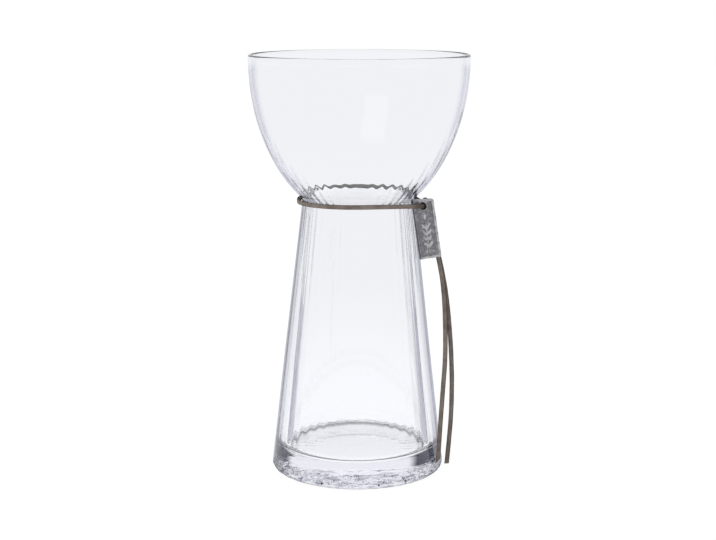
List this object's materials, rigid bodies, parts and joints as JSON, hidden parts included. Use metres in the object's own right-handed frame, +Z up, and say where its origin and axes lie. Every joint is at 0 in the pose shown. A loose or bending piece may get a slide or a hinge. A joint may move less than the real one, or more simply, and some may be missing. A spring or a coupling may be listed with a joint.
{
  "type": "hyacinth forcing vase",
  "caption": "Clear glass forcing vase: an open bulb bowl over a tall tapering water cone, with a leather lace tied round its neck and a small cast tag.",
  "frame": {"origin": "middle of the foot, on the surface that the vase stands on", "axes": "+Z up along the vase's axis, +X towards the tag and the lace's tails, -Y towards the viewer of the picture"},
  "size_m": [0.12, 0.12, 0.23],
  "materials": {
    "clear_glass": "mouth-blown clear soda glass, smooth outside, softly ribbed inside, with a few seeds in the heel",
    "leather_lace": "matte taupe-brown leather lace with darker cut edges",
    "cast_metal": "dull pewter-grey casting, uneven skin, edges rubbed lighter"
  },
  "bodies": {
    "vase": {"glass_vase": "clear_glass"},
    "lace": {"neck_loop": "leather_lace", "lace_knot": "leather_lace", "inner_tail": "leather_lace", "outer_tail": "leather_lace"},
    "tag": {"metal_tag": "cast_metal"}
  },
  "joints": [
    {"name": "lace_turn", "type": "hinge", "parent": "vase", "child": "lace", "pos_m": [0, 0, 0.1513], "axis": [0, 0, 1], "continuous": true},
    {"name": "tag_swing", "type": "hinge", "parent": "lace", "child": "tag", "pos_m": [0.0354, -0.016, 0.1495], "axis": [0, -1, 0], "range_deg": [-5, 90]}
  ]
}
